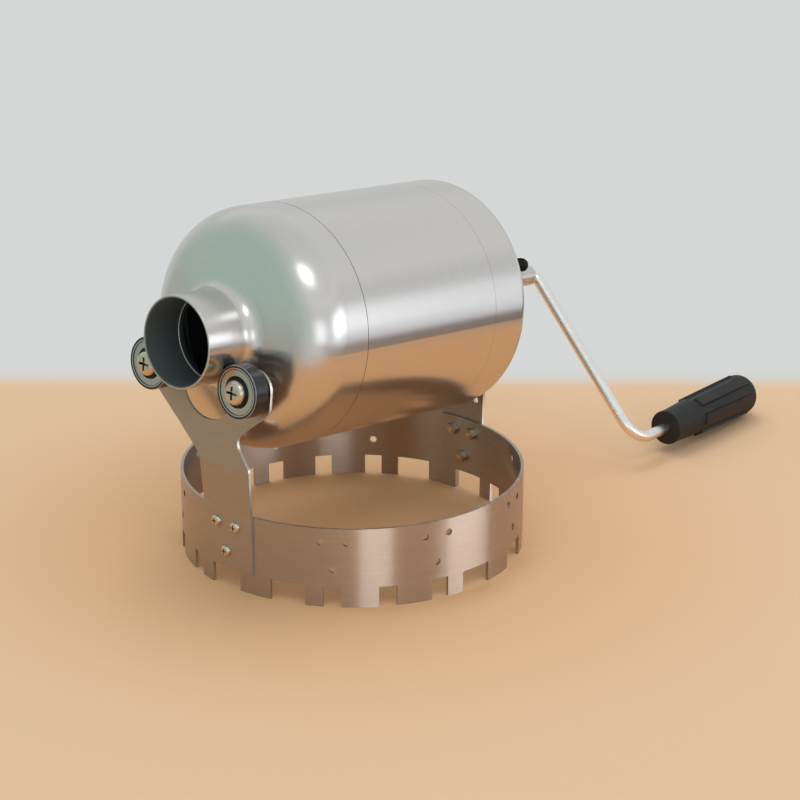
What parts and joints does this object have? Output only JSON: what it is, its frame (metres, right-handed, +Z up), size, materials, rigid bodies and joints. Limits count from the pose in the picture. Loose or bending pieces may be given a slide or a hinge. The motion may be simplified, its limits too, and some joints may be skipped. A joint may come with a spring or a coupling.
{
  "type": "stovetop coffee bean roaster",
  "caption": "Hand-cranked steel drum that tumbles coffee beans over a burner, its open neck on ball-bearing rollers and its shaft in a notched upright of a ring stand.",
  "frame": {"origin": "Centre of the stand's ring, on the surface that its feet stand on.", "axes": "+Z up; +Y from the drum's mouth towards the crank, in plan the line of the drum's axis; +X to the right of someone who looks from the mouth towards the crank. The drum's axis falls 6.27 degrees towards +Y."},
  "size_m": [0.1725, 0.3887, 0.18],
  "materials": {
    "stand_steel": "rolled stainless sheet, lightly brushed",
    "drum_steel": "spun stainless sheet, fine satin polish around the axis",
    "inside_steel": "mill-finish stainless",
    "zinc_screws": "zinc-plated cross-recessed screws",
    "dark_nuts": "dull zinc nuts",
    "turned_steel": "turned steel",
    "black_bearing": "black-finished bearing steel",
    "shield_steel": "pressed steel shields",
    "bush_bronze": "sintered bronze bush",
    "rod_steel": "bright drawn rod",
    "black_screw": "black-oxide socket screw",
    "grip_plastic": "black moulded grip"
  },
  "bodies": {
    "stand": {"stand_frame": "stand_steel", "ring_band": "stand_steel", "front_foot_screws": "zinc_screws", "rear_foot_screws": "zinc_screws", "front_foot_nuts": "dark_nuts", "rear_foot_nuts": "dark_nuts", "roller_bolts": "zinc_screws", "roller_spacers": "turned_steel", "roller_nuts": "dark_nuts", "roller_inner_rings": "black_bearing"},
    "roller_left": {"roller_left_ring": "black_bearing", "roller_left_balls": "turned_steel", "roller_left_shields": "shield_steel"},
    "roller_right": {"roller_right_ring": "black_bearing", "roller_right_balls": "turned_steel", "roller_right_shields": "shield_steel"},
    "bush": {"shaft_bush": "bush_bronze"},
    "drum": {"neck_tube": "drum_steel", "front_dome": "drum_steel", "drum_shell": "drum_steel", "rear_cap": "drum_steel", "stir_vanes": "inside_steel", "rear_hub": "turned_steel", "hub_washer": "turned_steel", "hub_nut": "turned_steel", "drum_shaft": "turned_steel", "clamp_screw": "black_screw", "crank_rod": "rod_steel", "rod_nut": "dark_nuts"},
    "grip": {"crank_grip": "grip_plastic", "grip_cap": "grip_plastic"}
  },
  "joints": [
    {"name": "drum_lift", "type": "slide", "parent": "stand", "child": "bush", "axis": [0, 0.1092, 0.994], "range_m": [0, 0.06]},
    {"name": "drum_spin", "type": "hinge", "parent": "bush", "child": "drum", "pos_m": [-0.017, 0.09053, 0.1056], "axis": [0, 0.994, -0.1092], "continuous": true},
    {"name": "roller_left_spin", "type": "hinge", "parent": "stand", "child": "roller_left", "pos_m": [-0.047, -0.09386, 0.10686], "axis": [0, 0.994, -0.1092], "continuous": true},
    {"name": "roller_right_spin", "type": "hinge", "parent": "stand", "child": "roller_right", "pos_m": [0.013, -0.09386, 0.10686], "axis": [0, 0.994, -0.1092], "continuous": true},
    {"name": "grip_spin", "type": "hinge", "parent": "drum", "child": "grip", "pos_m": [0.05048, 0.16903, 0.01579], "axis": [-0.063, 0.9974, -0.0337], "continuous": true}
  ],
  "couplings": [
    {"joint": "roller_left_spin", "follows": "drum_spin", "ratio": -1.7231},
    {"joint": "roller_right_spin", "follows": "drum_spin", "ratio": -1.7231}
  ]
}
